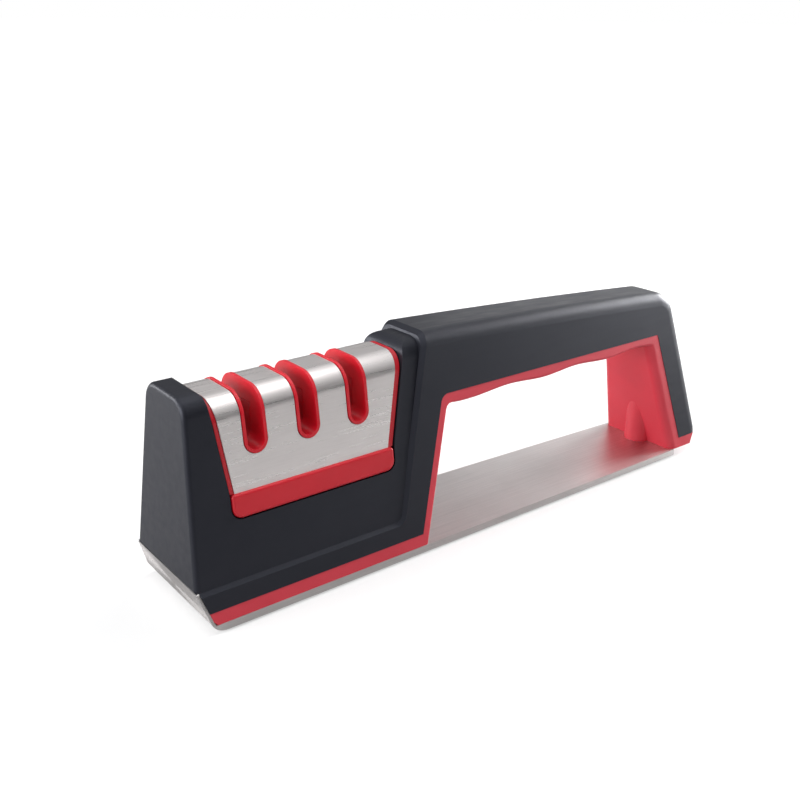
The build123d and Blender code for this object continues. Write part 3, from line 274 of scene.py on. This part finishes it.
def dress():
    """Gives every CAD node its finished material."""
    red_frame = red_plastic("red_frame", (0.60, 0.032, 0.054), (0.66, 0.038, 0.062), 0.42)
    red_core = red_plastic("red_core", (0.53, 0.005, 0.016), (0.59, 0.008, 0.021), 0.34)
    screws = plated_steel()
    holders = holder_plastic()
    carbide = ground_carbide()
    diamond = abrasive_rod(
        "diamond_grit", (0.16, 0.16, 0.17), (0.45, 0.45, 0.46), 0.6, 0.16 * MM, 0.3
    )
    ceramic = abrasive_rod("ceramic", (0.70, 0.69, 0.63), (0.84, 0.83, 0.78), 0.0, 0.10 * MM, 0.5)
    pads = rubber()
    wear = {
        "outer_shell": black_plastic(),
        "inner_frame": red_frame,
        "base_plate": brushed_steel(
            "plate_steel", (0.59, 0.565, 0.558), (0.71, 0.680, 0.672), 0.40, 0.25
        ),
        # The cover's colour is lifted far above the plate's stainless: painted light for the bright sheen
        # the cover shows.
        "cartridge_cover": brushed_steel(
            "cover_steel_painted_light", (0.92, 0.865, 0.850), (0.97, 0.915, 0.900), 0.30, 0.06
        ),
        "slot_core": red_core,
        "cartridge_carriage": red_core,
        "front_grip_pad": pads,
        "rear_grip_pad": pads,
        "base_screws": screws,
        "shell_screws": screws,
        "cartridge_screws": screws,
        "blade_clamp_screw": screws,
        "coarse_holder": holders,
        "medium_holder": holders,
        "fine_holder": holders,
        "coarse_blade_left": carbide,
        "coarse_blade_right": carbide,
        "medium_rod_left": diamond,
        "medium_rod_right": diamond,
        "fine_rod_left": ceramic,
        "fine_rod_right": ceramic,
    }
    for name, made in wear.items():
        mesh = nodes[name].data
        mesh.materials.clear()
        mesh.materials.append(made)


# Studio
def world():
    """Room that is white to the camera, and lights from above, from behind and from the head's end."""
    made = bpy.data.worlds.new("studio")
    bpy.context.scene.world = made
    made.use_nodes = True
    tree = made.node_tree
    tree.nodes.clear()
    output = tree.nodes.new("ShaderNodeOutputWorld")
    paths = tree.nodes.new("ShaderNodeLightPath")
    seen = tree.nodes.new("ShaderNodeBackground")
    seen.inputs["Color"].default_value = (1, 1, 1, 1)
    direction = tree.nodes.new("ShaderNodeTexCoord")
    split = tree.nodes.new("ShaderNodeSeparateXYZ")
    link(tree, direction.outputs["Generated"], split.inputs["Vector"])
    behind = spread(tree, split.outputs["Y"], -0.7, 0.6, 0.0, BEHIND)
    above = spread(tree, split.outputs["Z"], 0.15, 0.9, 0.0, ABOVE)
    beside = spread(tree, split.outputs["X"], -0.9, 0.0, BESIDE, 0.0)
    light = tree.nodes.new("ShaderNodeBackground")
    light.inputs["Color"].default_value = (*ROOM_TINT, 1)
    strength = add_heights(tree, (behind, 1.0), (above, 1.0), (beside, 1.0))
    link(tree, strength, light.inputs["Strength"])
    mix = tree.nodes.new("ShaderNodeMixShader")
    link(tree, paths.outputs["Is Camera Ray"], mix.inputs["Fac"])
    link(tree, light.outputs["Background"], mix.inputs[1])
    link(tree, seen.outputs["Background"], mix.inputs[2])
    link(tree, mix.outputs["Shader"], output.inputs["Surface"])


def floor():
    """Large pale floor, lifted to white for the camera, so that only the part's shadow shows."""
    turns = ((-1, -1), (1, -1), (1, 1), (-1, 1))
    corners = [(x * FLOOR_HALF, y * FLOOR_HALF, 0) for x, y in turns]
    mesh = bpy.data.meshes.new("floor")
    mesh.from_pydata(corners, [], [(0, 1, 2, 3)])
    surface = bpy.data.objects.new("floor", mesh)
    bpy.context.scene.collection.objects.link(surface)
    made, tree, shader = new_material("floor")
    shader.inputs["Base Color"].default_value = (FLOOR_GREY, FLOOR_GREY, FLOOR_GREY, 1)
    shader.inputs["Roughness"].default_value = 0.9
    shader.inputs["Specular IOR Level"].default_value = 0.1
    output = tree.nodes["Material Output"]
    distance = tree.nodes.new("ShaderNodeVectorMath")
    distance.operation = "LENGTH"
    link(tree, position(tree), distance.inputs[0])
    paths = tree.nodes.new("ShaderNodeLightPath")
    lift = tree.nodes.new("ShaderNodeEmission")
    lifted = spread(tree, distance.outputs["Value"], LIFT_FROM, LIFT_TO, LIFT_NEAR, LIFT_FAR)
    link(tree, lifted, lift.inputs["Strength"])
    both = tree.nodes.new("ShaderNodeAddShader")
    link(tree, shader.outputs["BSDF"], both.inputs[0])
    link(tree, lift.outputs["Emission"], both.inputs[1])
    mix = tree.nodes.new("ShaderNodeMixShader")
    link(tree, paths.outputs["Is Camera Ray"], mix.inputs["Fac"])
    link(tree, shader.outputs["BSDF"], mix.inputs[1])
    link(tree, both.outputs["Shader"], mix.inputs[2])
    link(tree, mix.outputs["Shader"], output.inputs["Surface"])
    mesh.materials.append(made)


def softbox(name, place, size, watts):
    """Rectangular area light at place, facing the part."""
    data = bpy.data.lights.new(name, "AREA")
    data.shape = "RECTANGLE"
    data.size, data.size_y = size
    data.energy = watts
    lamp = bpy.data.objects.new(name, data)
    bpy.context.scene.collection.objects.link(lamp)
    lamp.location = place
    toward = Vector(SOFTBOX_TARGET) - Vector(place)
    lamp.rotation_euler = toward.to_track_quat("-Z", "Y").to_euler()


def camera():
    """Camera off the head's end on the near side, a little above."""
    place = Vector(EYE) * MM
    forward = Vector(
        (math.sin(YAW) * math.cos(PITCH), math.cos(YAW) * math.cos(PITCH), -math.sin(PITCH))
    )
    level = Vector((math.cos(YAW), -math.sin(YAW), 0))
    upright = level.cross(forward)
    right = math.cos(ROLL) * level + math.sin(ROLL) * upright
    up = math.cos(ROLL) * upright - math.sin(ROLL) * level
    data = bpy.data.cameras.new("camera")
    data.sensor_width = SENSOR_WIDTH
    data.lens = FOCAL_LENGTH
    data.clip_start = 0.01
    data.clip_end = 100.0
    eye = bpy.data.objects.new("camera", data)
    bpy.context.scene.collection.objects.link(eye)
    turn = Matrix((right, up, -forward)).transposed()
    eye.matrix_world = Matrix.Translation(place) @ turn.to_4x4()
    bpy.context.scene.camera = eye


dress()
world()
floor()
for lamp in SOFTBOXES:
    softbox(*lamp)
camera()
bpy.context.scene.view_settings.view_transform = "Standard"
